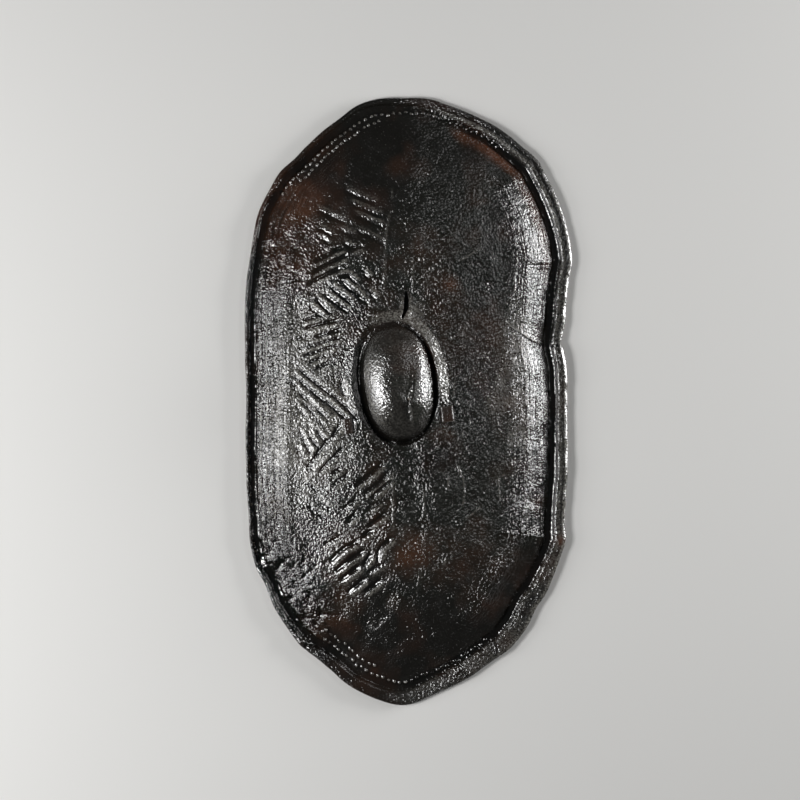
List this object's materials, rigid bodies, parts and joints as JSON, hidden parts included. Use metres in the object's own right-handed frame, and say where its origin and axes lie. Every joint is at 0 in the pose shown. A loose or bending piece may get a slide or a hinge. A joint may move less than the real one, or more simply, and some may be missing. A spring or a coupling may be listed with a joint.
{
  "type": "leather shield",
  "caption": "Long oval shield of one thick dark hide with a turned-up border, domed field, pressed strokes, hollow fist boss and grip strap.",
  "frame": {"origin": "middle of the underside's box, as the shield lies face up", "axes": "+Y along the shield to its top, +X to the right seen from the front, +Z out of the front"},
  "size_m": [0.539, 0.9998, 0.08],
  "materials": {
    "dark_hide": "dark polished hide, grainy, rubbed brown at the edges",
    "strap_leather": "dull dark leather"
  },
  "bodies": {
    "root": {"hide": "dark_hide", "grip_strap": "strap_leather"}
  },
  "joints": []
}
